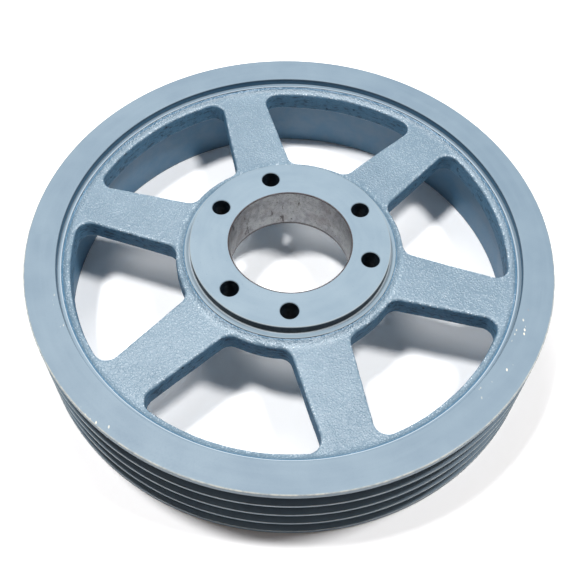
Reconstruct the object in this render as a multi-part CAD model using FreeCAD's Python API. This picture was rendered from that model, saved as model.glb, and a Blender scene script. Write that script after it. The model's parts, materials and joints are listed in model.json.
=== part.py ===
import FreeCAD, Part
import math
import os

# Four-groove narrow-section V-belt sheave, one iron casting, for a quick-detachable
# tapered bushing.  Millimetres.  The wheel lies flat: z = 0 is the lower rim face and
# +Z runs along the wheel's axis to the raised hub face.

# ---- rim and belt grooves ----
outer_dia = 406.4            # over the lands, 16 in
groove_count = 4
groove_pitch = 17.4625       # groove centre to groove centre, 11/16 in
edge_distance = 12.7         # rim face to the nearest groove centre, 1/2 in
groove_top_width = 15.24     # at the outer diameter, 0.600 in
groove_depth = 14.986        # 0.590 in
groove_angle_deg = 40.0      # between the two flanks
rim_edge_chamfer = 1.2       # outer corners of the rim
land_chamfer = 0.35          # broken edges beside each groove
drum_wall = 9.0              # metal left under the grooves
drum_draft = 0.8             # how much wider the drum is at its lower face
face_chamfer = 0.6           # inner corner of the machined rim face

# ---- web, windows and arms ----
rim_face_to_web = 9.4        # rim face down to the cast web
web_thickness = 18.0
web_rim_width = 9.2          # ring between the windows and the drum
web_rim_extra = 3.4          # the ring hangs this much below the arms
arm_count = 6
arm_angle_deg = -14.1        # direction of the first arm, from +X
arm_width_hub = 45.0         # across an arm at the hub end of the windows
arm_width_rim = 37.2         # across an arm at the rim end
window_corner_r = 10.0
cast_edge_r = 3.0            # rounding of the as-cast window edges
rim_step_width = 3.0         # machined step at the foot of the recess
rim_step_height = 3.4

# ---- hub ----
hub_outer_dia = 155.6        # raised machined boss, 6 1/8 in
hub_proud = 1.6              # hub face above the rim face
hub_length = 41.275          # 1 5/8 in
hub_chamfer = 0.7
hub_step_width = 4.5         # machined step round the boss
hub_step_height = 3.2
hub_web_width = 11.4         # boss wall to the windows
bore_small_dia = 94.80       # tapered seat at the upper face, 3.732 in
bore_taper = 1.0 / 16.0      # on diameter, 3/4 in per foot
bolt_circle_dia = 127.0      # 5 in
bolt_hole_dia = 14.2875      # 9/16 in, drilled through
bolt_set_count = 3           # holes in each of the two sets
bolt_set_offset_deg = 45.0   # second set from the first

# ---- sizes that follow ----
outer_r = outer_dia / 2.0
face_width = 2.0 * edge_distance + (groove_count - 1) * groove_pitch
drum_outer_r = outer_r - groove_depth
drum_inner_r = drum_outer_r - drum_wall
flank = math.tan(math.radians(groove_angle_deg / 2.0))
groove_floor_width = groove_top_width - 2.0 * groove_depth * flank

web_top = face_width - rim_face_to_web
web_bottom = web_top - web_thickness
window_outer_r = drum_inner_r - web_rim_width
hub_r = hub_outer_dia / 2.0
window_inner_r = hub_r + hub_web_width
hub_top = face_width + hub_proud
hub_bottom = hub_top - hub_length
bore_small_r = bore_small_dia / 2.0
bore_large_r = bore_small_r + hub_length * bore_taper / 2.0

# an arm runs straight between these two distances from the axis
arm_start = window_inner_r + window_corner_r + 0.5
arm_end = window_outer_r - 1.3 * window_corner_r

arm_angles = [arm_angle_deg + i * 360.0 / arm_count for i in range(arm_count)]
AXIS = FreeCAD.Vector(0, 0, 1)
ORIGIN = FreeCAD.Vector(0, 0, 0)


def revolve(points):
    """Solid of revolution about Z from a closed profile of (radius, height) corners."""
    corners = [FreeCAD.Vector(r, 0, z) for r, z in points]
    wire = Part.makePolygon(corners + [corners[0]])
    return Part.Face(wire).revolve(ORIGIN, AXIS, 360)


def ring(inner_r, outer_r_, low, high):
    return revolve([(inner_r, low), (outer_r_, low), (outer_r_, high), (inner_r, high)])


def turned(shape, angle_deg):
    copy = shape.copy()
    copy.rotate(ORIGIN, AXIS, angle_deg)
    return copy


# ---- rim: drum, two edge flanges, the ridges between the grooves ----
def make_drum():
    low_r = drum_inner_r + drum_draft
    return revolve([
        (low_r + face_chamfer, 0.0),
        (drum_outer_r, 0.0),
        (drum_outer_r, face_width),
        (drum_inner_r + face_chamfer, face_width),
        (drum_inner_r, face_width - face_chamfer),
        (drum_inner_r, web_bottom - web_rim_extra),
        (low_r, face_chamfer),
    ])


def make_flange(upper):
    land = edge_distance - groove_top_width / 2.0
    foot = edge_distance - groove_floor_width / 2.0
    profile = [
        (drum_outer_r, 0.0),
        (outer_r - rim_edge_chamfer, 0.0),
        (outer_r, rim_edge_chamfer),
        (outer_r, land - land_chamfer),
        (outer_r - land_chamfer, land),
        (drum_outer_r, foot),
    ]
    if upper:
        profile = [(r, face_width - z) for r, z in profile]
    return revolve(profile)


def make_ridge(index):
    middle = edge_distance + (index + 0.5) * groove_pitch
    half_foot = (groove_pitch - groove_floor_width) / 2.0
    half_land = (groove_pitch - groove_top_width) / 2.0
    return revolve([
        (drum_outer_r, middle - half_foot),
        (outer_r - land_chamfer, middle - half_land),
        (outer_r, middle - half_land + land_chamfer),
        (outer_r, middle + half_land - land_chamfer),
        (outer_r - land_chamfer, middle + half_land),
        (drum_outer_r, middle + half_foot),
    ])


# ---- web plate with its windows, before it is divided ----
def arm_outline_prism(angle_deg):
    """Tapered bar along +X, wider than the web is thick, turned to an arm's direction."""
    slope = (arm_width_rim - arm_width_hub) / 2.0 / (window_outer_r - window_inner_r)
    near_x = window_inner_r - 25.0
    far_x = window_outer_r + 25.0
    near_half = arm_width_hub / 2.0 + slope * (near_x - window_inner_r)
    far_half = arm_width_hub / 2.0 + slope * (far_x - window_inner_r)
    base = web_bottom - 5.0
    corners = [
        FreeCAD.Vector(near_x, -near_half, base),
        FreeCAD.Vector(far_x, -far_half, base),
        FreeCAD.Vector(far_x, far_half, base),
        FreeCAD.Vector(near_x, near_half, base),
    ]
    face = Part.Face(Part.makePolygon(corners + [corners[0]]))
    bar = face.extrude(FreeCAD.Vector(0, 0, web_thickness + 10.0))
    return turned(bar, angle_deg)


def make_windows():
    """One through-cutting block for each window, its upright corners rounded."""
    blank = ring(window_inner_r, window_outer_r, web_bottom - 5.0, web_top + 5.0)
    for angle in arm_angles:
        blank = blank.cut(arm_outline_prism(angle))
    windows = []
    for block in blank.Solids:
        upright = []
        for edge in block.Edges:
            low, high = edge.BoundBox.ZMin, edge.BoundBox.ZMax
            if high - low > web_thickness and edge.Curve.TypeId == "Part::GeomLine":
                upright.append(edge)
        windows.append(block.makeFillet(window_corner_r, upright))
    return windows


def make_plate():
    plate = ring(hub_r, drum_inner_r, web_bottom, web_top)
    for window in make_windows():
        plate = plate.cut(window)
    rims = []
    for edge in plate.Edges:
        box = edge.BoundBox
        flat = box.ZMax - box.ZMin < 0.01
        middle = edge.valueAt((edge.FirstParameter + edge.LastParameter) / 2.0)
        reach = math.hypot(middle.x, middle.y)
        if flat and window_inner_r - 0.5 < reach < window_outer_r + 0.5:
            rims.append(edge)
    return plate.makeFillet(cast_edge_r, rims)


def arm_box(angle_deg):
    half = arm_width_hub / 2.0 + 6.0
    corner = FreeCAD.Vector(arm_start, -half, web_bottom - 10.0)
    box = Part.makeBox(arm_end - arm_start, 2.0 * half, web_thickness + 20.0, corner)
    return turned(box, angle_deg)


drum = make_drum()
plate = make_plate()
boxes = [arm_box(angle) for angle in arm_angles]
arms = [plate.common(box).Solids[0] for box in boxes]

between = (arm_start + arm_end) / 2.0
divided = plate
for box in boxes:
    divided = divided.cut(box)
inner_zone = Part.makeCylinder(between, 300.0, FreeCAD.Vector(0, 0, -50.0))
hub_web = divided.common(inner_zone)
rim_web = divided.cut(inner_zone)

# machined step round the boss, with a rounded cast shoulder down to the web
shoulder = hub_step_height * 0.9
hub_step_r = hub_r + hub_step_width
step = revolve([
    (hub_r, web_top),
    (hub_step_r + shoulder, web_top),
    (hub_step_r + shoulder * 0.45, web_top + shoulder * 0.25),
    (hub_step_r + shoulder * 0.1, web_top + shoulder * 0.72),
    (hub_step_r, web_top + hub_step_height),
    (hub_r, web_top + hub_step_height),
])
hub_web = hub_web.fuse(step).removeSplitter()

# machined step at the foot of the rim recess, and the deeper ring under the web
rim_step = revolve([
    (drum_inner_r - rim_step_width - 0.8, web_top),
    (drum_inner_r, web_top),
    (drum_inner_r, web_top + rim_step_height),
    (drum_inner_r - rim_step_width, web_top + rim_step_height),
    (drum_inner_r - rim_step_width, web_top + 0.8),
])
under_inner = window_outer_r + cast_edge_r + 0.3
under = revolve([
    (under_inner, web_bottom),
    (under_inner + 1.4, web_bottom - web_rim_extra),
    (drum_inner_r, web_bottom - web_rim_extra),
    (drum_inner_r, web_bottom),
])
rim_web = rim_web.fuse([rim_step, under]).removeSplitter()

# ---- hub: straight boss, tapered bore, two sets of bolt holes ----
hub = revolve([
    (bore_large_r, hub_bottom),
    (hub_r - hub_chamfer, hub_bottom),
    (hub_r, hub_bottom + hub_chamfer),
    (hub_r, hub_top - hub_chamfer),
    (hub_r - hub_chamfer, hub_top),
    (bore_small_r, hub_top),
])
for start in (arm_angle_deg, arm_angle_deg + bolt_set_offset_deg):
    for i in range(bolt_set_count):
        angle = math.radians(start + i * 360.0 / bolt_set_count)
        x = bolt_circle_dia / 2.0 * math.cos(angle)
        y = bolt_circle_dia / 2.0 * math.sin(angle)
        foot = FreeCAD.Vector(x, y, hub_bottom - 5.0)
        hole = Part.makeCylinder(bolt_hole_dia / 2.0, hub_length + 10.0, foot)
        hub = hub.cut(hole)

nodes = {
    "rim_barrel": drum,
    "flange_lower": make_flange(False),
    "flange_upper": make_flange(True),
    "rim_web": rim_web,
    "hub_web": hub_web,
    "hub_core": hub,
}
for index in range(groove_count - 1):
    nodes["ridge_%d" % (index + 1)] = make_ridge(index)
for index, arm in enumerate(arms):
    nodes["arm_%d" % (index + 1)] = arm

os.makedirs("parts", exist_ok=True)
for name, shape in nodes.items():
    if len(shape.Solids) == 1:
        shape = shape.Solids[0]
    shape.exportStep("parts/%s.step" % name)
    box = shape.BoundBox
    print("%-13s solids %d valid %s volume %.0f  z %.2f..%.2f" % (
        name, len(shape.Solids), shape.isValid(), shape.Volume, box.ZMin, box.ZMax))
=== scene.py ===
import json
import math

import bpy
from mathutils import Matrix, Vector


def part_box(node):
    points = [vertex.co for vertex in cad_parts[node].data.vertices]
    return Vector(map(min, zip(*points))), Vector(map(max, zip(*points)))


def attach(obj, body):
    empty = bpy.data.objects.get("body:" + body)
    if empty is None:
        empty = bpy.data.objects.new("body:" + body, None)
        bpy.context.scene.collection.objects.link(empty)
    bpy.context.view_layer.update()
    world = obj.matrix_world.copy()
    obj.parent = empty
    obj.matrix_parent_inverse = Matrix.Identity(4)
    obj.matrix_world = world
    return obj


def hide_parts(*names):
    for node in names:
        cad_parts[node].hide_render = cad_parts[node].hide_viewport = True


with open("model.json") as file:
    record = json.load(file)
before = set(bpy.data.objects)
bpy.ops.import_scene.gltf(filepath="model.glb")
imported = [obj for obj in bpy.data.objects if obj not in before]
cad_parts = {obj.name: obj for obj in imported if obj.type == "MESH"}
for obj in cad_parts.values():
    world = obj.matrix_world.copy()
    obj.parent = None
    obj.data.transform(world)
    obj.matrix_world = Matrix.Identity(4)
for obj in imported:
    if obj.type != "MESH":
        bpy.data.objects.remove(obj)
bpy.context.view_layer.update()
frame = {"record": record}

# Looks of a four-groove V-belt sheave: a turned rim, a cast six-arm spider and a turned,
# taper-bored hub, painted blue-grey.  Sizes written below are millimetres, times MM.
MM = 0.001

ARM_COUNT = 6
RIM_NODES = ("rim_barrel", "flange_lower", "flange_upper", "ridge_1", "ridge_2", "ridge_3")
RIDGE_NODES = RIM_NODES[3:]
ARM_NODES = tuple("arm_%d" % number for number in range(1, ARM_COUNT + 1))
SPIDER_NODES = ("rim_web", "hub_web") + ARM_NODES
HUB_NODES = ("hub_core",)


def floor_of(node):
    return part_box(node)[0].z / MM


def top_of(node):
    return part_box(node)[1].z / MM


def reach_of(node):
    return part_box(node)[1].x / MM


MOUNTS = {mount["name"]: mount for mount in frame["record"]["mounts"]}

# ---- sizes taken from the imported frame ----
OUTER_R = reach_of("flange_upper")
FACE_Z = top_of("flange_upper")
GROOVE_FLOOR_R = reach_of("rim_barrel")
LEDGE_Z = top_of("rim_web")
RING_UNDER_Z = floor_of("rim_web")
WEB_TOP = top_of("arm_1")
WEB_UNDER = floor_of("arm_1")
STEP_Z = top_of("hub_web")
HUB_TOP = top_of("hub_core")
HUB_UNDER = floor_of("hub_core")
HUB_R = reach_of("hub_core")
BORE_LOW_R = MOUNTS["bushing_taper"]["dims"]["r_mm"]
HOLE_R = MOUNTS["bolt_hole_a1"]["dims"]["r_mm"]
HOLE_PLACES = [
    mount["pos_m"][:2] for name, mount in sorted(MOUNTS.items()) if name.startswith("bolt_hole")
]

# ---- sizes of the casting that no box gives ----
FLANK = math.tan(math.radians(20.0))    # half of the groove's 40 degrees
DRUM_R = 179.214                        # inside of the drum, at the recess
DRUM_LOW_R = 180.014                    # and at the lower face, opened by the draft
LEDGE_R = 176.214                       # inner lip of the turned ledge
WINDOW_OUT_R = 170.014
WINDOW_IN_R = 89.2
ARM_HALF_HUB = 22.5                     # half an arm's width at the hub end
ARM_HALF_RIM = 18.6                     # and at the rim end
CORNER_R = 10.0                         # upright corners of a window
EDGE_R = 2.3                            # rounding of the cast edges
STEP_R = HUB_R + 4.5                    # turned step round the boss
BORE_TAPER = 1.0 / 32.0                 # on the radius
BORE_TOP_R = BORE_LOW_R - (HUB_TOP - HUB_UNDER) * BORE_TAPER
FIRST_ARM_DEG = -14.1
HALF_SHARE = math.radians(180.0 / ARM_COUNT)
SHARP_ANGLE = math.radians(34.0)        # turned corners sharper than this stay crisp


# ---------------------------------------------------------------- node trees
def add(tree, kind, ins=(), **settings):
    """A node in a tree, its settings made and its inputs set or linked."""
    node = tree.nodes.new(kind)
    for key, value in settings.items():
        setattr(node, key, value)
    for key, value in ins.items() if isinstance(ins, dict) else enumerate(ins):
        if isinstance(value, bpy.types.NodeSocket):
            tree.links.new(value, node.inputs[key])
        elif value is not None:
            node.inputs[key].default_value = value
    return node


def calc(tree, operation, *values):
    return add(tree, "ShaderNodeMath", values, operation=operation).outputs[0]


def growing_tree(name, inputs):
    """An empty Geometry Nodes tree with named inputs, and the nodes at its two ends."""
    tree = bpy.data.node_groups.new(name, "GeometryNodeTree")
    sides = tree.interface
    sides.new_socket("Geometry", in_out="INPUT", socket_type="NodeSocketGeometry")
    for label, kind in inputs:
        sides.new_socket(label, in_out="INPUT", socket_type="NodeSocket" + kind)
    sides.new_socket("Geometry", in_out="OUTPUT", socket_type="NodeSocketGeometry")
    return tree, tree.nodes.new("NodeGroupInput").outputs, tree.nodes.new("NodeGroupOutput").inputs


def finish_tree(tree, last, end, *coats):
    """Makes what the tree grew real and gives it its coats, each over a part of the last."""
    whole = add(tree, "GeometryNodeRealizeInstances", (last,)).outputs[0]
    for material, where in coats:
        whole = add(tree, "GeometryNodeSetMaterial", {
            "Geometry": whole, "Selection": where, "Material": material}).outputs[0]
    tree.links.new(whole, end[0])


def grown(name, seed, tree, values):
    """Runs a tree on a seed mesh and keeps the result as a plain piece."""
    holder = placed(name + "_seed", seed)
    grower = holder.modifiers.new("grow", "NODES")
    grower.node_group = tree
    for item in tree.interface.items_tree:
        if item.in_out == "INPUT" and item.name in values:
            grower[item.identifier] = values[item.name]
    ready = holder.evaluated_get(bpy.context.evaluated_depsgraph_get())
    mesh = bpy.data.meshes.new_from_object(ready)
    holder.modifiers.remove(grower)
    bpy.data.objects.remove(holder)
    mesh.name = name
    return placed(name, mesh)


def placed(name, mesh):
    piece = bpy.data.objects.new(name, mesh)
    bpy.context.scene.collection.objects.link(piece)
    return piece


def plain_mesh(name, points, edges=(), faces=()):
    mesh = bpy.data.meshes.new(name)
    mesh.from_pydata([tuple(c * MM for c in point) for point in points], edges, faces)
    return mesh


# ---------------------------------------------------------------- turned profiles
ARC_STEPS = 4    # points along a rounding
HOLD = 0.55      # how far past a rounding the points that hold the flats stand
RIM_FACETS = 480
HUB_FACETS = 360


def rounded(corners):
    """Closed outline through (radius, height, rounding) corners.  Gives its points, and for
    each one 1 on a rounding and 0 on the flats."""
    points, worn = [], []
    count = len(corners)
    for index, (r, z, size) in enumerate(corners):
        here = Vector((r, z))
        back = Vector(corners[index - 1][:2]) - here
        ahead = Vector(corners[(index + 1) % count][:2]) - here
        if size <= 0.0:
            points.append(here)
            worn.append(0.0)
            continue
        half = back.angle(ahead) / 2.0
        cut = min(size / math.tan(half), 0.4 * back.length, 0.4 * ahead.length)
        back_end, ahead_end = back.normalized() * cut, ahead.normalized() * cut
        points.append(here + back_end + back.normalized() * min(HOLD, 0.05 * back.length + 0.1))
        worn.append(0.0)
        for step in range(ARC_STEPS + 1):
            t = step / ARC_STEPS
            points.append(here + back_end * (1 - t) ** 2 + ahead_end * t ** 2)
            worn.append(1.0 - abs(2 * t - 1) * 0.6)
        points.append(here + ahead_end + ahead.normalized() * min(HOLD, 0.05 * ahead.length + 0.1))
        worn.append(0.0)
    return points, worn


def profile_seed(name, corners, path_r):
    """Outline as a loop of edges, laid out the way the sweep reads it."""
    points, worn = rounded(corners)
    count = len(points)
    seed = plain_mesh(
        name,
        [(r - path_r, -z, 0.0) for r, z in points],
        [(index, (index + 1) % count) for index in range(count)],
    )
    seed.attributes.new("edge_wear", "FLOAT", "POINT").data.foreach_set("value", worn)
    return seed


def turning(tree, given):
    """Sweeps the profile round the wheel's axis."""
    path = add(tree, "GeometryNodeCurvePrimitiveCircle",
               {"Resolution": given["Facets"], "Radius": given["Path radius"]})
    outline = add(tree, "GeometryNodeMeshToCurve", (given["Geometry"],))
    return add(tree, "GeometryNodeCurveToMesh",
               {"Curve": path.outputs[0], "Profile Curve": outline.outputs[0]}).outputs[0]


TURNING_INPUTS = [("Facets", "Int"), ("Path radius", "Float")]


def rim_tree(material):
    tree, given, end = growing_tree("turned_rim", TURNING_INPUTS)
    finish_tree(tree, turning(tree, given), end, (material, None))
    return tree


def hub_tree(paint, bare):
    """Turned hub with a cutter stood on every bolt place, and a bare bore."""
    tree, given, end = growing_tree(
        "turned_hub",
        TURNING_INPUTS + [("Bolt places", "Object"), ("Cutter", "Object"),
                          ("Bare inside", "Float")])
    places = add(tree, "GeometryNodeObjectInfo", (given["Bolt places"],)).outputs["Geometry"]
    cutter = add(tree, "GeometryNodeObjectInfo", (given["Cutter"],)).outputs["Geometry"]
    drills = add(tree, "GeometryNodeInstanceOnPoints", {"Points": places, "Instance": cutter})
    drills = add(tree, "GeometryNodeRealizeInstances", (drills.outputs[0],)).outputs[0]
    drilled = add(tree, "GeometryNodeMeshBoolean",
                  {"Mesh 1": turning(tree, given), "Mesh 2": drills},
                  operation="DIFFERENCE", solver="EXACT").outputs[0]
    place = add(tree, "GeometryNodeInputPosition").outputs[0]
    flat = add(tree, "ShaderNodeVectorMath", (place, (1.0, 1.0, 0.0)), operation="MULTIPLY")
    reach = add(tree, "ShaderNodeVectorMath", (flat.outputs[0],), operation="LENGTH")
    inside = add(tree, "FunctionNodeCompare", (reach.outputs["Value"], given["Bare inside"]),
                 operation="LESS_THAN", data_type="FLOAT").outputs[0]
    finish_tree(tree, drilled, end, (paint, None), (bare, inside))
    return tree


def spider_tree(skin_paint, wall_paint):
    """One window's share of the web, set round the wheel and joined, its skin made uneven
    as sand leaves it."""
    tree, given, end = growing_tree(
        "cast_spider",
        [("Arms", "Int"), ("First window", "Float"), ("Merge", "Float"),
         ("Swell height", "Float"), ("Swell scale", "Float"),
         ("Grain height", "Float"), ("Grain scale", "Float"), ("Seed", "Float"),
         ("Wall from", "Float")])
    spots = add(tree, "GeometryNodePoints", {"Count": given["Arms"]}).outputs[0]
    number = add(tree, "GeometryNodeInputIndex").outputs[0]
    turn = calc(tree, "DIVIDE", 2.0 * math.pi, given["Arms"])
    turn = calc(tree, "MULTIPLY_ADD", number, turn, given["First window"])
    turned = add(tree, "ShaderNodeCombineXYZ", {"Z": turn}).outputs[0]
    shares = add(tree, "GeometryNodeInstanceOnPoints",
                 {"Points": spots, "Instance": given["Geometry"], "Rotation": turned})
    shares = add(tree, "GeometryNodeRealizeInstances", (shares.outputs[0],)).outputs[0]
    joined = add(tree, "GeometryNodeMergeByDistance",
                 {"Geometry": shares, "Distance": given["Merge"]}).outputs[0]
    place = add(tree, "GeometryNodeInputPosition").outputs[0]
    lift = None
    for height, scale, detail in (("Swell height", "Swell scale", 1.0),
                                  ("Grain height", "Grain scale", 2.0)):
        noise = add(tree, "ShaderNodeTexNoise",
                    {"Vector": place, "W": given["Seed"], "Scale": given[scale],
                     "Detail": detail}, noise_dimensions="4D").outputs[0]
        part = calc(tree, "MULTIPLY", calc(tree, "SUBTRACT", noise, 0.5), given[height])
        lift = part if lift is None else calc(tree, "ADD", lift, part)
    outward = add(tree, "GeometryNodeInputNormal").outputs[0]
    shift = add(tree, "ShaderNodeVectorMath", {0: outward, "Scale": lift}, operation="SCALE")
    uneven = add(tree, "GeometryNodeSetPosition",
                 {"Geometry": joined, "Offset": shift.outputs[0]}).outputs[0]
    smooth = add(tree, "GeometryNodeSetShadeSmooth", (uneven,)).outputs[0]
    wall = add(tree, "GeometryNodeInputNamedAttribute", {"Name": "window_wall"},
               data_type="FLOAT").outputs[0]
    upright = add(tree, "FunctionNodeCompare", (wall, given["Wall from"]),
                  operation="GREATER_THAN", data_type="FLOAT").outputs[0]
    finish_tree(tree, smooth, end, (skin_paint, None), (wall_paint, upright))
    return tree


# ---------------------------------------------------------------- shader pieces
class Finish:
    """A material under construction, with the coordinates that its patterns share."""

    def __init__(self, name, gloss=0.5):
        self.material = bpy.data.materials.new(name)
        self.material.use_nodes = True
        self.tree = self.material.node_tree
        self.shader = self.tree.nodes["Principled BSDF"]
        self.shader.inputs["Specular IOR Level"].default_value = gloss
        self.place = add(self.tree, "ShaderNodeTexCoord").outputs["Object"]
        x, y, self.height = add(self.tree, "ShaderNodeSeparateXYZ", (self.place,)).outputs
        self.reach = self.calc("SQRT", self.calc("ADD", self.times(x, x), self.times(y, y)))
        self.bearing = self.calc("ARCTAN2", y, x)

    def calc(self, operation, *values):
        return calc(self.tree, operation, *values)

    def times(self, first, *others):
        for other in others:
            first = self.calc("MULTIPLY", first, other)
        return first

    def attribute(self, name):
        return add(self.tree, "ShaderNodeAttribute", attribute_name=name).outputs["Fac"]

    def stretched(self, *shares):
        """The piece's coordinates with each axis scaled by its share."""
        return add(self.tree, "ShaderNodeVectorMath", (self.place, shares),
                   operation="MULTIPLY").outputs[0]

    def noise(self, size_mm, detail=2.0, roughness=0.5, where=None):
        """Noise whose features are about size_mm across."""
        return add(self.tree, "ShaderNodeTexNoise",
                   {"Vector": where or self.place, "Scale": 1.0 / (size_mm * MM),
                    "Detail": detail, "Roughness": roughness}).outputs[0]

    def cells(self, size_mm, where=None):
        """Distance from the middle of the nearest of many cells about size_mm across."""
        return add(self.tree, "ShaderNodeTexVoronoi",
                   {"Vector": where or self.place, "Scale": 1.0 / (size_mm * MM)}).outputs[0]

    def ramp(self, value, low, high, to_low=0.0, to_high=1.0):
        """A value carried smoothly from one range to another."""
        return add(self.tree, "ShaderNodeMapRange", (value, low, high, to_low, to_high),
                   interpolation_type="SMOOTHSTEP").outputs[0]

    def band(self, value, low_mm, high_mm, soft_mm):
        """1 between two sizes, fading out over soft_mm inside each."""
        rise = self.ramp(value, low_mm * MM, (low_mm + soft_mm) * MM)
        fall = self.ramp(value, (high_mm - soft_mm) * MM, high_mm * MM, 1.0, 0.0)
        return self.times(rise, fall)

    def mix(self, factor, first, second):
        return add(self.tree, "ShaderNodeMix", {0: factor, 6: first, 7: second},
                   data_type="RGBA").outputs[2]

    def bump(self, height, depth_mm, below=None):
        return add(self.tree, "ShaderNodeBump", {
            "Height": height, "Distance": depth_mm * MM, "Normal": below}).outputs[0]

    def tool_path(self, turn_share=0.012):
        """Coordinates that run along the cut of a lathe tool: fine across it, long round it."""
        return add(self.tree, "ShaderNodeCombineXYZ", (
            self.reach, self.height, self.times(self.bearing, turn_share))).outputs[0]

    def done(self, colour, roughness, normal):
        for socket, value in (("Base Color", colour), ("Roughness", roughness), ("Normal", normal)):
            self.tree.links.new(value, self.shader.inputs[socket])
        return self.material


def shade(red, green, blue):
    """Linear colour from the usual 0 to 255 numbers."""
    parts = [c / 255.0 for c in (red, green, blue)]
    return tuple(c / 12.92 if c < 0.04045 else ((c + 0.055) / 1.055) ** 2.4 for c in parts) + (1.0,)


# each turned coat: its colour, where it is thick, where it is thin
RIM_TONES = (shade(107, 125, 139), shade(119, 137, 149), shade(91, 111, 127))
HUB_TONES = (shade(116, 134, 147), shade(127, 144, 155), shade(100, 120, 135))
PAINT_CAST = shade(110, 131, 146)
PAINT_CAST_LIGHT = shade(152, 172, 186)
PAINT_CAST_DEEP = shade(62, 88, 106)
# near-white for painted highlights: the ledge's lip, the boss's foot, grain glints
PAINTED_HIGHLIGHT = shade(214, 224, 231)
# blue painted in as shade on the drum wall, the window walls and beside the step and ledge
WALL_SHADE_BLUE = shade(68, 108, 136)
SHADE_BLUE_BLACK = shade(10, 26, 40)         # dark blue painted in as shade: grooves, recesses, holes, window walls
# blue painted in as shade on the recess wall above the rim's ledge
RECESS_SHADE_BLUE = shade(64, 108, 138)
PRIMER = shade(216, 212, 196)
RUST = shade(188, 132, 72)
# stretches of the rim face with chips: middle and half width in degrees, from and to radius,
# how much has come off
FLAKED = ((-31.0, 15.0, 181.0, 191.0, 0.9), (-132.0, 8.0, 195.0, 202.9, 0.8),
          (-157.0, 7.0, 180.0, 184.0, 0.5))
BORE_BRIGHT = shade(152, 155, 156)
BORE_DULL = shade(104, 104, 110)
BORE_BROWN = shade(96, 82, 84)
BORE_DARK = shade(46, 38, 40)


def turned_coat(f, tones):
    """Satin paint over a turned face: faint tool lines, soft clouds and fine orange peel.
    Gives its colour and its peel."""
    base, light, deep = tones
    bands = f.noise(5.0, 2.0, 0.5, f.tool_path())
    cloud = f.noise(38.0, 3.0, 0.55)
    peel = f.noise(1.1, 2.0, 0.5)
    colour = f.mix(f.ramp(cloud, 0.3, 0.72), deep, light)
    colour = f.mix(0.7, colour, base)
    colour = f.mix(f.ramp(bands, 0.35, 0.7, 0.0, 0.22), colour, light)
    return f.mix(f.ramp(peel, 0.56, 0.76, 0.0, 0.16), colour, deep), peel


def rubbed(f, colour, amount):
    """The coat worn thin, in patches, along the rounded corners."""
    worn = f.ramp(f.attribute("edge_wear"), 0.35, 0.95)
    patchy = f.ramp(f.noise(6.0, 4.0, 0.65), 0.38, 0.62, 0.25, amount)
    return f.mix(f.times(worn, patchy), colour, PRIMER)


def coat_relief(f, peel):
    """Orange peel over the fine ridges that the tool left."""
    lines = f.noise(0.55, 2.0, 0.6, f.tool_path())
    return f.bump(peel, 0.02, f.bump(lines, 0.012))


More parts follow.
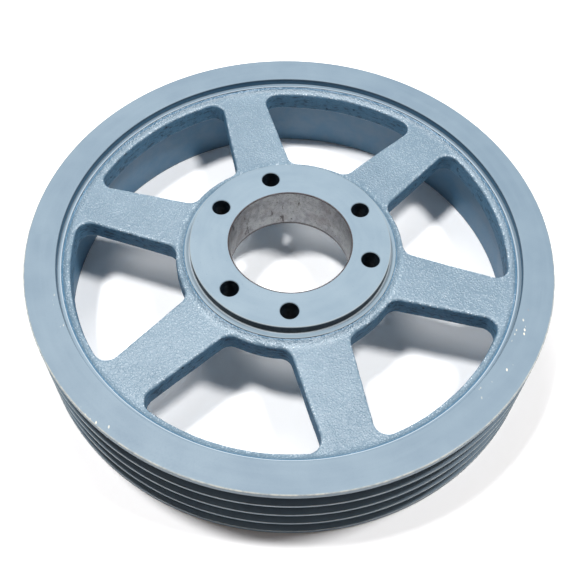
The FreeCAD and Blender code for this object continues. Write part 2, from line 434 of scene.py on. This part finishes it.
def rim_paint():
    """Turned coat with painted shade in the grooves, inside the drum and on the recess wall, a
    painted highlight on the ledge's lip, and a few flakes off its face.
    """
    f = Finish("rim_satin_paint", 0.32)
    colour, peel = turned_coat(f, RIM_TONES)
    # painted shade inside the grooves, deepening with depth, patchy in strength
    depth = f.ramp(f.reach, (OUTER_R - 8.0) * MM, (OUTER_R - 0.7) * MM, 1.0, 0.0)
    outside = f.ramp(f.reach, (GROOVE_FLOOR_R - 1.2) * MM, (GROOVE_FLOOR_R - 0.3) * MM)
    between_faces = f.band(f.height, 0.3, FACE_Z - 0.3, 1.2)
    groove_shade_strength = f.ramp(f.noise(9.0, 3.0), 0.2, 0.6, 0.52, 0.74)
    groove = f.times(depth, outside, between_faces, groove_shade_strength)
    colour = f.mix(groove, colour, SHADE_BLUE_BLACK)
    # painted shade on the drum's inner wall under the web, cloudy in strength
    inward = f.ramp(f.reach, (DRUM_LOW_R + 1.6) * MM, (DRUM_LOW_R + 0.8) * MM)
    under_web = f.band(f.height, 1.2, WEB_TOP, 1.0)
    cloudy = f.ramp(f.noise(17.0, 4.0, 0.6), 0.3, 0.7, 0.6, 0.92)
    colour = f.mix(f.times(inward, under_web, cloudy), colour, WALL_SHADE_BLUE)
    # painted shade on the recess wall above the ledge, darkest just under the face, and a painted
    # highlight on the ledge's lip
    recess = f.times(f.ramp(f.reach, (DRUM_R + 0.5) * MM, (DRUM_R + 0.2) * MM),
                     f.band(f.height, LEDGE_Z + 0.4, FACE_Z - 0.5, 0.4))
    wall = f.mix(f.ramp(f.height, (LEDGE_Z + 2.0) * MM, (FACE_Z - 0.6) * MM, 0.0, 0.6),
                 RECESS_SHADE_BLUE, SHADE_BLUE_BLACK)
    colour = f.mix(f.times(recess, 0.9), colour, wall)
    # a thin painted highlight along the ledge's lip
    lip_highlight = f.times(f.band(f.reach, LEDGE_R - 0.3, LEDGE_R + 0.8, 0.3),
                  f.band(f.height, LEDGE_Z - 0.9, LEDGE_Z + 0.3, 0.3))
    colour = f.mix(f.times(lip_highlight, 0.34), colour, PAINTED_HIGHLIGHT)
    lands = f.ramp(f.reach, (OUTER_R - 6.0) * MM, (OUTER_R - 4.0) * MM)
    colour = f.mix(lands, colour, rubbed(f, colour, 0.6))
    # flakes: small chips, each stretch of them between two distances from the axis
    chips = None
    for middle_deg, half_deg, low_r, high_r, amount in FLAKED:
        away = f.calc("ABSOLUTE", f.calc("SUBTRACT", f.bearing, math.radians(middle_deg)))
        near = f.ramp(away, math.radians(half_deg), math.radians(half_deg * 0.5), 0.0, amount)
        near = f.times(near, f.band(f.reach, low_r, high_r, 1.5))
        chips = near if chips is None else f.calc("MAXIMUM", chips, near)
    speck = f.ramp(f.cells(3.4, f.stretched(1.0, 0.5, 1.0)), 0.21, 0.14)
    pick = f.ramp(f.noise(9.0, 1.0), 0.38, 0.44)
    on_face = f.ramp(f.height, (FACE_Z - 0.4) * MM, (FACE_Z - 0.1) * MM)
    chips = f.times(chips, speck, pick, on_face)
    bared = f.mix(f.ramp(f.noise(24.0), 0.56, 0.62), PRIMER, RUST)
    colour = f.mix(chips, colour, bared)
    rough = f.ramp(peel, 0.3, 0.7, 0.42, 0.52)
    rough = f.calc("ADD", rough, f.times(f.calc("MAXIMUM", groove, chips), 0.2))
    normal = f.bump(f.calc("SUBTRACT", 1.0, chips), 0.08, coat_relief(f, peel))
    return f.done(colour, rough, normal)


def hub_paint():
    """Turned coat with painted shade in the bolt holes, down the boss and at the step's edge, and a
    painted highlight at the boss's foot.
    """
    f = Finish("hub_satin_paint", 0.3)
    colour, peel = turned_coat(f, HUB_TONES)
    colour = f.mix(f.ramp(f.cells(4.5), 0.12, 0.07, 0.0, 0.5), colour, HUB_TONES[2])
    colour = rubbed(f, colour, 0.2)
    # a painted highlight along the boss's foot on the step
    foot = f.times(f.band(f.reach, HUB_R + 0.2, HUB_R + 1.3, 0.3),
                   f.band(f.height, STEP_Z - 0.3, STEP_Z + 0.6, 0.2))
    colour = f.mix(f.times(foot, 0.32), colour, PAINTED_HIGHLIGHT)
    # painted shade in the bolt holes, down the boss wall and along the step's outer edge, a little
    # patchy
    holes = f.times(f.band(f.height, HUB_UNDER + 0.5, HUB_TOP - 0.6, 0.3),
                    f.ramp(f.reach, (HUB_R - 1.4) * MM, (HUB_R - 1.8) * MM))
    boss = f.times(f.band(f.height, STEP_Z + 0.2, HUB_TOP - 0.9, 0.3),
                   f.band(f.reach, HUB_R - 0.3, HUB_R + 0.3, 0.1))
    brink_shade = f.times(f.ramp(f.height, (STEP_Z - 0.35) * MM, (STEP_Z - 0.7) * MM),
                    f.band(f.reach, STEP_R - 0.4, STEP_R + 0.4, 0.1))
    hollow_shade = f.calc("MAXIMUM", f.calc("MAXIMUM", holes, boss), brink_shade)
    hollow_shade = f.times(hollow_shade, f.ramp(f.noise(5.0, 3.0), 0.3, 0.6, 0.88, 1.0))
    colour = f.mix(hollow_shade, colour, SHADE_BLUE_BLACK)
    rough = f.ramp(peel, 0.3, 0.7, 0.42, 0.52)
    return f.done(colour, rough, coat_relief(f, peel))


def cast_paint(name, gloss):
    """The same paint on sand-cast skin: pebbled, with painted highlights on the grains where it
    turns over an edge and on the hub shoulder, painted shade on the window walls, streaked, and
    beside step and ledge."""
    f = Finish(name, gloss)
    # the pebbles' coordinates are bent a little, so no row of cells shows
    drift = add(f.tree, "ShaderNodeTexNoise", {
        "Vector": f.place, "Scale": 1.0 / (5.0 * MM), "Detail": 2.0}).outputs["Color"]
    bend = add(f.tree, "ShaderNodeVectorMath", {0: drift, "Scale": 0.9 * MM},
               operation="SCALE").outputs[0]
    where = add(f.tree, "ShaderNodeVectorMath", (f.place, bend), operation="ADD").outputs[0]
    pebble = f.ramp(f.cells(1.75, where), 0.1, 0.62, 1.0, 0.0)
    sand = f.noise(0.95, 3.0, 0.6, where)
    skin = f.noise(6.5, 4.0, 0.55)
    cloud = f.noise(45.0, 3.0, 0.5)
    relief = f.calc("ADD", f.times(pebble, 0.5), f.times(sand, 0.5))
    relief = f.times(relief, f.ramp(skin, 0.3, 0.7, 0.7, 1.0))
    edge = f.attribute("highlight_edge")
    wall = f.ramp(f.attribute("window_wall"), 0.1, 0.75)
    colour = f.mix(f.ramp(cloud, 0.3, 0.7), PAINT_CAST_DEEP, PAINT_CAST_LIGHT)
    colour = f.mix(0.88, colour, PAINT_CAST)
    # painted shade in the hollows of the pebbled relief
    colour = f.mix(f.ramp(relief, 0.22, 0.42, 0.3, 0.0), colour, PAINT_CAST_DEEP)
    crease = f.calc("ABSOLUTE", f.calc("SUBTRACT", f.noise(2.4, 2.0, 0.5, where), 0.5))
    colour = f.mix(f.ramp(crease, 0.0, 0.035, 0.2, 0.0), colour, PAINT_CAST_DEEP)
    # a pale painted highlight along the rounded edges and the hub shoulder's crest
    pale = f.times(f.ramp(edge, 0.1, 0.9, 0.0, 0.5), f.ramp(skin, 0.3, 0.6))
    colour = f.mix(pale, colour, PAINT_CAST_LIGHT)
    # painted glints on the grain peaks, strongest on the rounded edges
    glint = f.times(f.ramp(relief, 0.42, 0.6), f.ramp(f.noise(2.6, 1.0), 0.36, 0.52),
                    f.ramp(edge, 0.0, 1.0, 0.06, 0.95))
    colour = f.mix(glint, colour, PAINTED_HIGHLIGHT)
    # painted shade on the skin as it climbs to the boss's step or the rim's ledge, most beside them
    climb_shade = f.calc("MAXIMUM", f.ramp(f.reach, (STEP_R + 3.6) * MM, (STEP_R + 2.0) * MM),
                   f.ramp(f.reach, (LEDGE_R - 5.0) * MM, (LEDGE_R - 0.5) * MM))
    colour = f.mix(f.times(climb_shade, 0.36), colour, PAINT_CAST_DEEP)
    # a dark line of painted shade just beside the boss's step and the rim's ledge
    brink_shade = f.calc("MAXIMUM", f.ramp(f.reach, (STEP_R + 1.2) * MM, (STEP_R + 0.6) * MM),
                   f.ramp(f.reach, (LEDGE_R - 1.8) * MM, (LEDGE_R - 0.8) * MM))
    colour = f.mix(f.times(brink_shade, 0.8), colour, WALL_SHADE_BLUE)
    # window walls: painted shade, blue-black in streaks, lighter in places, with a few open pits
    # darkened inside with painted shade
    streak_noise = f.noise(7.0, 4.0, 0.65, f.stretched(1.0, 1.0, 3.5))
    streaks = f.mix(f.ramp(streak_noise, 0.32, 0.5, 0.3, 1.0), SHADE_BLUE_BLACK, WALL_SHADE_BLUE)
    colour = f.mix(f.times(wall, 0.9), colour, streaks)
    colour = f.mix(f.times(wall, f.ramp(streak_noise, 0.58, 0.7, 0.0, 0.35)), colour, PAINT_CAST)
    pit = f.times(f.ramp(f.cells(7.5), 0.17, 0.09), f.ramp(f.noise(15.0, 1.0), 0.5, 0.6), wall)
    colour = f.mix(f.times(pit, 0.8), colour, SHADE_BLUE_BLACK)
    rough = f.calc("ADD", f.ramp(sand, 0.3, 0.7, 0.26, 0.38), f.times(wall, 0.35))
    normal = f.bump(relief, 0.6, f.bump(skin, 0.3))
    normal = f.bump(f.calc("SUBTRACT", 1.0, pit), 0.5, normal)
    return f.done(colour, rough, normal)


def bare_bore():
    """Unpainted tapered seat: turned iron, stained brown, with open pits."""
    f = Finish("bare_turned_iron")
    f.shader.inputs["Metallic"].default_value = 0.75
    lines = f.noise(0.5, 2.0, 0.6, f.tool_path(0.022))
    stain = f.noise(7.0, 4.0, 0.62, f.stretched(1.0, 1.0, 0.7))
    rust = f.noise(16.0, 4.0, 0.6)
    fleck = f.noise(1.3, 3.0, 0.6)
    smear = f.noise(9.0, 5.0, 0.7, f.stretched(1.0, 1.0, 0.45))
    pit = f.times(f.ramp(f.cells(3.4), 0.2, 0.1), f.ramp(f.noise(11.0, 2.0), 0.48, 0.6))
    colour = f.mix(f.ramp(stain, 0.3, 0.66), BORE_DULL, BORE_BRIGHT)
    colour = f.mix(f.ramp(rust, 0.5, 0.72, 0.0, 0.4), colour, BORE_BROWN)
    colour = f.mix(f.ramp(fleck, 0.55, 0.64, 0.0, 0.45), colour, BORE_DARK)
    colour = f.mix(f.ramp(smear, 0.61, 0.66, 0.0, 0.85), colour, BORE_DARK)
    colour = f.mix(f.times(pit, 0.9), colour, BORE_DARK)
    lips = f.calc("MAXIMUM", f.ramp(f.height, (HUB_TOP - 1.0) * MM, (HUB_TOP - 0.5) * MM),
                  f.ramp(f.height, (HUB_UNDER + 2.8) * MM, (HUB_UNDER + 1.8) * MM))
    colour = f.mix(f.times(lips, f.ramp(stain, 0.3, 0.5, 0.6, 0.9)), colour, BORE_DARK)
    rough = f.ramp(stain, 0.3, 0.7, 0.36, 0.54)
    normal = f.bump(fleck, 0.05, f.bump(lines, 0.03))
    normal = f.bump(f.calc("SUBTRACT", 1.0, pit), 0.35, normal)
    return f.done(colour, rough, normal)


def pale_paper():
    f = Finish("pale_floor")
    colour = f.mix(f.noise(140.0, 2.0), shade(250, 250, 251), shade(253, 253, 253))
    rough = f.ramp(f.noise(30.0), 0.3, 0.7, 0.75, 0.85)
    return f.done(colour, rough, f.bump(f.noise(2.0), 0.01))


# ---------------------------------------------------------------- rim
def rim_corners():
    """Clockwise outline of the rim's section, from the inner corner of the machined face."""
    outer_edge, inner_edge, land_edge, floor_edge = 1.3, 0.7, 0.45, 0.9
    corners = [(DRUM_R, FACE_Z, inner_edge), (OUTER_R, FACE_Z, outer_edge)]
    middles = sorted((floor_of(node) + top_of(node)) / 2.0 for node in RIDGE_NODES)
    pitch = middles[1] - middles[0]
    half_foot = (top_of("ridge_1") - floor_of("ridge_1")) / 2.0
    half_floor = pitch / 2.0 - half_foot
    half_mouth = half_floor + (OUTER_R - GROOVE_FLOOR_R) * FLANK
    for middle in reversed([middles[0] - pitch / 2.0] + [m + pitch / 2.0 for m in middles]):
        corners += [
            (OUTER_R, middle + half_mouth, land_edge),
            (GROOVE_FLOOR_R, middle + half_floor, floor_edge),
            (GROOVE_FLOOR_R, middle - half_floor, floor_edge),
            (OUTER_R, middle - half_mouth, land_edge),
        ]
    # down round the lower face, up the drum, and in to the ledge behind the cast ring
    corners += [
        (OUTER_R, 0.0, outer_edge),
        (DRUM_LOW_R, 0.0, inner_edge),
        (DRUM_R, RING_UNDER_Z, 0.0),
        (DRUM_R, RING_UNDER_Z + 8.0, 0.0),
        (LEDGE_R, WEB_TOP - 5.0, 0.0),
        (LEDGE_R, LEDGE_Z, 0.45),
        (DRUM_R, LEDGE_Z, 0.5),
    ]
    return corners


def make_rim(material):
    seed = profile_seed("rim_section", rim_corners(), GROOVE_FLOOR_R)
    rim = grown("rim", seed, rim_tree(material), {
        "Facets": RIM_FACETS, "Path radius": GROOVE_FLOOR_R * MM})
    rim.data.set_sharp_from_angle(angle=SHARP_ANGLE)
    return rim


# ---------------------------------------------------------------- spider
OUT_END_R = DRUM_R + 1.8                # the web runs this far into the rim
IN_END_R = HUB_R - 0.8                  # and this far into the hub
ARM_LINE = Vector((math.cos(HALF_SHARE), math.sin(HALF_SHARE)))
TO_WINDOW = Vector((ARM_LINE.y, -ARM_LINE.x))
ARM_SLOPE = (ARM_HALF_RIM - ARM_HALF_HUB) / (WINDOW_OUT_R - WINDOW_IN_R)


def smooth_step(value):
    value = min(1.0, max(0.0, value))
    return value * value * (3.0 - 2.0 * value)


def fillet(height, from_wall, width):
    """Height of a cast fillet at a distance from the wall it climbs."""
    return height * min(1.0, max(0.0, 1.0 - from_wall / width)) ** 2


def web_top(r):
    """Upper skin: flat, rising as a cast shoulder at the hub and a little at the rim ledge."""
    shoulder = fillet(STEP_Z - 0.9 - WEB_TOP, r - STEP_R, 9.5)
    return WEB_TOP + shoulder + fillet(2.5, LEDGE_R - r, 5.2)


def web_under(r):
    """Lower skin: flat, deeper under the ring, with hollows filled at hub and drum."""
    ring = (WEB_UNDER - RING_UNDER_Z) * smooth_step((r - WINDOW_OUT_R - 2.6) / 2.6)
    return WEB_UNDER - ring - fillet(4.0, r - HUB_R, 6.0) - fillet(2.5, DRUM_R - r, 3.5)


def polar(r, angle):
    return Vector((r * math.cos(angle), r * math.sin(angle)))


def ray_to_circle(start, way, r, side=1.0):
    """Where a ray from start meets the circle of radius r: far side 1, near side -1."""
    middle = start.dot(way)
    half_chord = math.sqrt(middle * middle + r * r - start.dot(start))
    return start + way * (side * half_chord - middle)


def ray_to_arm_line(start, way):
    return start - way * (start.dot(TO_WINDOW) / way.dot(TO_WINDOW))


def corner_rays(centre, first, last, steps, far_r, outer):
    """Rays from a window corner's centre, one of them at the corner of the share.  Round an
    outer corner they go from the rim to the arm, round an inner one from the arm to the hub."""
    share_corner = polar(far_r, HALF_SHARE)
    tip = (share_corner - centre).normalized()
    split = math.atan2(tip.y, tip.x) % (2.0 * math.pi)
    before = max(2, round(steps * (split - first) / (last - first)))
    angles = [first + (split - first) * i / before for i in range(before)]
    after = steps - before
    angles += [split + (last - split) * i / after for i in range(after + 1)]
    rays = []
    for index, angle in enumerate(angles):
        way = polar(1.0, angle)
        on_circle = index == before or outer == (index < before)
        if index == before:
            end = share_corner
        elif on_circle:
            end = ray_to_circle(centre, way, far_r, 1.0 if outer else -1.0)
        else:
            end = ray_to_arm_line(centre, way)
        rays.append((centre + way * CORNER_R, end, on_circle))
    return rays


RIM_SIDE_STEPS = 44         # along half of a window's outer side
OUTER_CORNER_STEPS = 20
ARM_SIDE_STEPS = 36
INNER_CORNER_STEPS = 16
HUB_SIDE_STEPS = 10


def window_rays():
    """Round half of one window: a point on its edge, the end of the metal behind it, and
    whether that end is against the rim or the hub."""
    along = (ARM_LINE + TO_WINDOW * ARM_SLOPE).normalized()
    into_window = (TO_WINDOW - ARM_LINE * ARM_SLOPE).normalized()
    foot = ARM_LINE * WINDOW_IN_R + TO_WINDOW * ARM_HALF_HUB
    shifted = foot + into_window * CORNER_R
    outer = ray_to_circle(shifted, along, WINDOW_OUT_R - CORNER_R)
    inner = ray_to_circle(shifted, along, WINDOW_IN_R + CORNER_R)
    to_arm = math.atan2(-into_window.y, -into_window.x)
    outer_angle = math.atan2(outer.y, outer.x)
    inner_angle = math.atan2(inner.y, inner.x)

    rays = []
    for i in range(RIM_SIDE_STEPS):
        angle = outer_angle * i / RIM_SIDE_STEPS
        rays.append((polar(WINDOW_OUT_R, angle), polar(OUT_END_R, angle), True))
    rays += corner_rays(outer, outer_angle, to_arm, OUTER_CORNER_STEPS, OUT_END_R, True)
    high = outer - into_window * CORNER_R
    low = inner - into_window * CORNER_R
    for i in range(1, ARM_SIDE_STEPS):
        edge = high.lerp(low, i / ARM_SIDE_STEPS)
        rays.append((edge, ray_to_arm_line(edge, -into_window), False))
    rays += corner_rays(inner, to_arm, inner_angle + math.pi, INNER_CORNER_STEPS, IN_END_R, False)
    for i in range(1, HUB_SIDE_STEPS + 1):
        angle = inner_angle * (1.0 - i / HUB_SIDE_STEPS)
        rays.append((polar(WINDOW_IN_R, angle), polar(IN_END_R, angle), True))
    return rays


SKIN_ROWS = 14       # across the flat of the web, from a window's edge to the metal's end
ROUNDING_ROWS = 6
WALL_ROWS = 7
END_ROWS = 5
WALL_BELLY = 0.4     # how far a window's wall bulges into the window
SHOULDER_HIGHLIGHT = 0.6  # strength of the painted highlight on the hub shoulder's crest, against 1 on a window's edge


def edge_rounding():
    """Round a cast edge from the skin to the wall: distances behind the edge, and drops."""
    quarter = [math.pi / 2 * i / ROUNDING_ROWS for i in range(ROUNDING_ROWS + 1)]
    return [(EDGE_R * (1.0 - math.sin(a)), EDGE_R * (1.0 - math.cos(a))) for a in quarter]


def spider_share():
    """The web from one arm's centre line to the next, round one window."""
    half = window_rays()
    mirrored = [(Vector((e.x, -e.y)), Vector((b.x, -b.y)), c) for e, b, c in reversed(half[1:-1])]
    rays = half + mirrored

    rounding = edge_rounding()
    points, highlight_edge, window_wall = [], [], []

    def lay(spot, z, edge_share, wall_share):
        points.append((spot.x, spot.y, z))
        highlight_edge.append(edge_share)
        window_wall.append(wall_share)

    for edge, end, _ in rays:
        length = (end - edge).length
        away = (end - edge) / length
        flats = [(EDGE_R + (length - EDGE_R) * i / SKIN_ROWS, 0.0) for i in range(SKIN_ROWS, 0, -1)]
        section = flats + rounding
        first = len(points)
        for distance, drop in section:
            spot = edge + away * distance
            # where the painted highlight falls: the hub shoulder's crest and the rounded edge
            crest = SHOULDER_HIGHLIGHT - abs(spot.length - STEP_R - 5.4) / 5.0
            lay(spot, web_top(spot.length) - drop,
                max(0.0, crest, 1.0 - distance / (1.3 * EDGE_R)), drop / EDGE_R)
        upper = points[-1][2]
        lower = web_under(edge.length) + EDGE_R
        for i in range(1, WALL_ROWS):
            t = i / WALL_ROWS
            lay(edge - away * WALL_BELLY * math.sin(math.pi * t), upper + (lower - upper) * t,
                0.0, 1.0)
        for distance, drop in reversed(section):
            spot = edge + away * distance
            lay(spot, web_under(spot.length) + drop,
                max(0.0, 1.0 - distance / (1.3 * EDGE_R)), drop / EDGE_R)
        top_z, under_z = points[first][2], points[-1][2]
        for i in range(1, END_ROWS):
            lay(end, under_z + (top_z - under_z) * i / END_ROWS, 0.0, 0.0)

    # one column of points for each ray; the columns' ends are closed only where they meet
    # the rim or the hub, because along an arm's centre line the next share carries on
    count = len(points) // len(rays)
    faces = []
    for k in range(len(rays)):
        nxt = (k + 1) % len(rays)
        closed = rays[k][2] and rays[nxt][2]
        for j in range(count if closed else count - END_ROWS):
            j2 = (j + 1) % count
            faces.append((k * count + j, nxt * count + j, nxt * count + j2, k * count + j2))
    share = plain_mesh("window_share", points, (), faces)
    for name, values in (("highlight_edge", highlight_edge), ("window_wall", window_wall)):
        share.attributes.new(name, "FLOAT", "POINT").data.foreach_set("value", values)
    return share


def make_spider(skin_paint, wall_paint):
    return grown("spider", spider_share(), spider_tree(skin_paint, wall_paint), {
        "Arms": ARM_COUNT,
        "First window": math.radians(FIRST_ARM_DEG) + HALF_SHARE,
        "Merge": 0.004 * MM,
        "Swell height": 0.9 * MM, "Swell scale": 1.0 / (26.0 * MM),
        "Grain height": 0.38 * MM, "Grain scale": 1.0 / (4.5 * MM),
        "Seed": 4.0,
        "Wall from": 0.7,
    })


# ---------------------------------------------------------------- hub
def hub_corners():
    """Clockwise outline of the hub's section, from the bore's upper edge."""
    return [
        (BORE_TOP_R, HUB_TOP, 0.5),
        (HUB_R, HUB_TOP, 0.8),
        (HUB_R, STEP_Z, 0.5),
        (STEP_R, STEP_Z, 0.55),
        (STEP_R, WEB_TOP - 4.0, 0.0),
        (HUB_R, WEB_TOP - 9.0, 0.0),
        (HUB_R, HUB_UNDER, 0.9),
        (BORE_LOW_R, HUB_UNDER, 0.6),
    ]


DRILL_SIDES = 56


def drill_mesh():
    """A drill with a flare at each end, which leaves the hole's mouths broken."""
    flare, past = 0.5, 2.0
    straight = 6.0
    stations = [(HUB_TOP + past, flare + past), (HUB_TOP - flare, 0.0), (HUB_TOP - straight, 0.0),
                (HUB_UNDER + straight, 0.0), (HUB_UNDER + flare, 0.0),
                (HUB_UNDER - past, flare + past)]
    points = [(*polar(HOLE_R + extra, 2.0 * math.pi * i / DRILL_SIDES), z)
              for z, extra in stations for i in range(DRILL_SIDES)]
    last = len(stations) - 1
    faces = [tuple(range(DRILL_SIDES)),
             tuple(reversed(range(last * DRILL_SIDES, len(points))))]
    for above in range(0, last * DRILL_SIDES, DRILL_SIDES):
        below = above + DRILL_SIDES
        for i in range(DRILL_SIDES):
            j = (i + 1) % DRILL_SIDES
            faces.append((above + j, above + i, below + i, below + j))
    return plain_mesh("drill", points, (), faces)


def make_hub(paint, bare):
    places = placed("bolt_places", plain_mesh(
        "bolt_places", [(x / MM, y / MM, 0.0) for x, y in HOLE_PLACES]))
    drill = placed("drill", drill_mesh())
    seed = profile_seed("hub_section", hub_corners(), HUB_R)
    hub = grown("hub", seed, hub_tree(paint, bare), {
        "Facets": HUB_FACETS, "Path radius": HUB_R * MM, "Bolt places": places, "Cutter": drill,
        "Bare inside": (BORE_LOW_R + 0.05) * MM,
    })
    for helper in (places, drill):
        bpy.data.objects.remove(helper)
    hub.data.set_sharp_from_angle(angle=SHARP_ANGLE)
    return hub


# ---------------------------------------------------------------- build
rim = make_rim(rim_paint())
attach(rim, "root")
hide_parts(*RIM_NODES)

spider = make_spider(cast_paint("cast_satin_paint", 0.6), cast_paint("cast_wall_paint", 0.12))
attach(spider, "root")
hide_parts(*SPIDER_NODES)

hub = make_hub(hub_paint(), bare_bore())
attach(hub, "root")
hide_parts(*HUB_NODES)

# ---------------------------------------------------------------- studio
FLOOR_R = 1650.0
FLOOR_SIDES = 96
floor = placed("floor", plain_mesh(
    "floor",
    [(*polar(FLOOR_R, 2.0 * math.pi * i / FLOOR_SIDES), 0.0) for i in range(FLOOR_SIDES)],
    (), [tuple(range(FLOOR_SIDES))]))
floor.data.materials.append(pale_paper())


def softbox(name, place, aim, size, power):
    """A round lamp of some size, in metres and watts."""
    data = bpy.data.lights.new(name, "AREA")
    data.shape = "DISK"
    data.size = size
    data.energy = power
    lamp = bpy.data.objects.new(name, data)
    lamp.location = place
    lamp.rotation_euler = (Vector(aim) - Vector(place)).to_track_quat("-Z", "Y").to_euler()
    bpy.context.scene.collection.objects.link(lamp)


softbox("left_overhead", (-0.54, 0.1, 2.05), (0.0, 0.0, 0.0), 0.3, 40.0)
softbox("right_overhead", (0.74, 0.06, 1.98), (0.0, 0.0, 0.0), 0.34, 34.0)
softbox("back_sheen", (-0.35, 1.4, 2.05), (0.0, 0.0, 0.05), 1.1, 20.0)

# a dim warm fill on the object, and a pale wall behind the floor
FILL_TINT = (1.0, 0.85, 0.78, 1.0)
FILL_STRENGTH = 0.16
WALL_TINT = (0.94, 0.95, 0.96, 1.0)
world = bpy.data.worlds.new("white_room")
world.use_nodes = True
room = world.node_tree
fill = room.nodes["Background"]
fill.inputs["Color"].default_value = FILL_TINT
fill.inputs["Strength"].default_value = FILL_STRENGTH
wall_seen = add(room, "ShaderNodeBackground", (WALL_TINT, 1.0))
shown = add(room, "ShaderNodeMixShader", (
    add(room, "ShaderNodeLightPath").outputs["Is Camera Ray"],
    fill.outputs[0], wall_seen.outputs[0]))
room.links.new(shown.outputs[0], room.nodes["World Output"].inputs["Surface"])

scene = bpy.context.scene
scene.world = world
scene.view_settings.view_transform = "Standard"

# ---------------------------------------------------------------- camera
EYE = Vector((0.0, -1.95888, 3.04077)) * OUTER_R * MM     # so many wheel radii away
YAW = math.radians(0.141)
PITCH = math.radians(56.783)     # how steeply the camera looks down
ROLL = math.radians(1.882)
FOCAL_MM = 53.74
SENSOR_MM = 36.0
ahead = Vector((math.sin(YAW) * math.cos(PITCH), math.cos(YAW) * math.cos(PITCH), -math.sin(PITCH)))
level = Vector((math.cos(YAW), -math.sin(YAW), 0.0))
upward = level.cross(ahead)
cam_x = level * math.cos(ROLL) + upward * math.sin(ROLL)
cam_y = upward * math.cos(ROLL) - level * math.sin(ROLL)
camera_data = bpy.data.cameras.new("camera")
camera_data.sensor_width = SENSOR_MM
camera_data.lens = FOCAL_MM
camera_data.clip_end = 50.0
camera = bpy.data.objects.new("camera", camera_data)
camera.matrix_world = Matrix((
    (cam_x.x, cam_y.x, -ahead.x, EYE.x),
    (cam_x.y, cam_y.y, -ahead.y, EYE.y),
    (cam_x.z, cam_y.z, -ahead.z, EYE.z),
    (0.0, 0.0, 0.0, 1.0),
))
scene.collection.objects.link(camera)
scene.camera = camera
